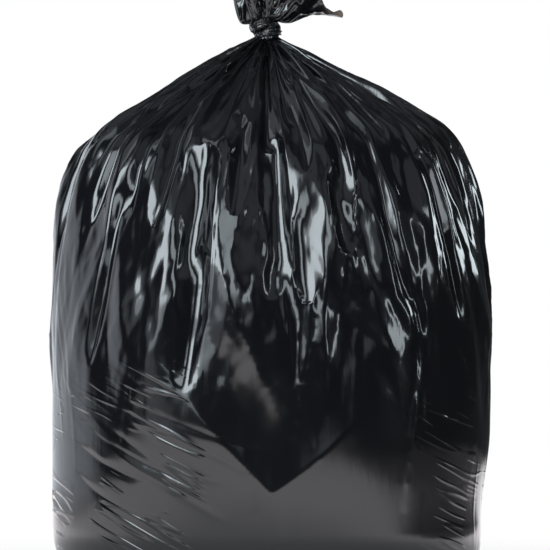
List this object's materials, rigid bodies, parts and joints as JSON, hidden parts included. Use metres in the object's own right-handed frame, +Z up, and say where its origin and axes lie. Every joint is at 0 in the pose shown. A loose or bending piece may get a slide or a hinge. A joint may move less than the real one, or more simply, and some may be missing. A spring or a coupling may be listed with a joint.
{
  "type": "filled bin bag",
  "caption": "Full black bin bag standing on the floor, its neck tied in a knot of its own film, with pleats down the shoulder and a loose tail.",
  "frame": {"origin": "middle of the bag's footprint, on the floor it stands on", "axes": "+Z up towards the knot, +X to the right and -Y to the front, as the picture shows the bag"},
  "size_m": [0.4672, 0.427, 0.7115],
  "materials": {
    "black_film": "glossy blown polythene film, crumpled"
  },
  "bodies": {
    "root": {"bin_bag": "black_film"}
  },
  "joints": []
}
